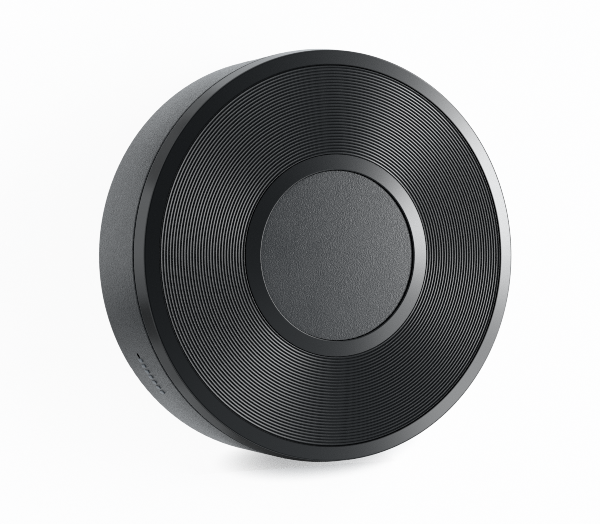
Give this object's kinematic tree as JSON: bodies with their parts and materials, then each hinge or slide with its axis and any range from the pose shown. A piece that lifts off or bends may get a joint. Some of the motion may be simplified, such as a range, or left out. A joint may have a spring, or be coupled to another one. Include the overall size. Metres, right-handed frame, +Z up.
{
  "type": "network music streamer",
  "caption": "Round puck-shaped network music streamer with a ribbed front cover, line output jack, power socket and a recessed reset button.",
  "frame": {"origin": "on the table under the middle of the case, at the feet's lower faces", "axes": "+Z up, out of the ribbed front face; +Y towards the sockets; +X to the right of the face"},
  "size_m": [0.08, 0.08, 0.0261],
  "materials": {
    "rear_housing": "fine spark texture",
    "front_cover": "satin",
    "centre_plate": "fine grain",
    "plate_adhesive": "film",
    "feet": "matte",
    "case_screws": "zinc plated",
    "main_board": "solder mask",
    "usb_socket_shell": "plated",
    "usb_socket_tongue": "moulded",
    "usb_socket_contacts": "gold plated",
    "audio_jack_body": "moulded",
    "audio_jack_contacts": "tin plated",
    "reset_switch_base": "moulded",
    "reset_switch_frame": "plated",
    "reset_switch_dome": "plated",
    "reset_switch_plunger": "moulded",
    "status_led": "moulded",
    "light_pipe": "clear",
    "wifi_module_board": "solder mask",
    "wifi_shield_can": "tinned",
    "processor_chip": "moulded",
    "memory_chip": "moulded",
    "antenna_socket": "gold plated",
    "antenna_plug": "gold plated",
    "antenna_lead": "extruded",
    "antenna_strip": "film",
    "flash_chip": "moulded",
    "audio_converter_chip": "moulded",
    "regulator_chip": "moulded",
    "power_inductor": "sintered",
    "crystal": "plated",
    "capacitor_bases": "moulded",
    "capacitor_cans": "drawn",
    "chip_passives": "fired"
  },
  "bodies": {
    "streamer": {"rear_housing": "rear_housing", "front_cover": "front_cover", "centre_plate": "centre_plate", "plate_adhesive": "plate_adhesive", "feet": "feet", "case_screws": "case_screws", "main_board": "main_board", "usb_socket_shell": "usb_socket_shell", "usb_socket_tongue": "usb_socket_tongue", "usb_socket_contacts": "usb_socket_contacts", "audio_jack_body": "audio_jack_body", "audio_jack_contacts": "audio_jack_contacts", "reset_switch_base": "reset_switch_base", "reset_switch_frame": "reset_switch_frame", "reset_switch_dome": "reset_switch_dome", "status_led": "status_led", "light_pipe": "light_pipe", "wifi_module_board": "wifi_module_board", "wifi_shield_can": "wifi_shield_can", "processor_chip": "processor_chip", "memory_chip": "memory_chip", "antenna_socket": "antenna_socket", "antenna_plug": "antenna_plug", "antenna_lead": "antenna_lead", "antenna_strip": "antenna_strip", "flash_chip": "flash_chip", "audio_converter_chip": "audio_converter_chip", "regulator_chip": "regulator_chip", "power_inductor": "power_inductor", "crystal": "crystal", "capacitor_bases": "capacitor_bases", "capacitor_cans": "capacitor_cans", "chip_passives": "chip_passives"},
    "reset_button": {"reset_switch_plunger": "reset_switch_plunger"}
  },
  "joints": [
    {"name": "reset_press", "type": "slide", "parent": "streamer", "child": "reset_button", "axis": [0.8862, 0.4633, 0], "range_m": [0, 0.00025], "stiffness_N_per_m": 6000, "deforming": ["reset_switch_dome"]}
  ]
}
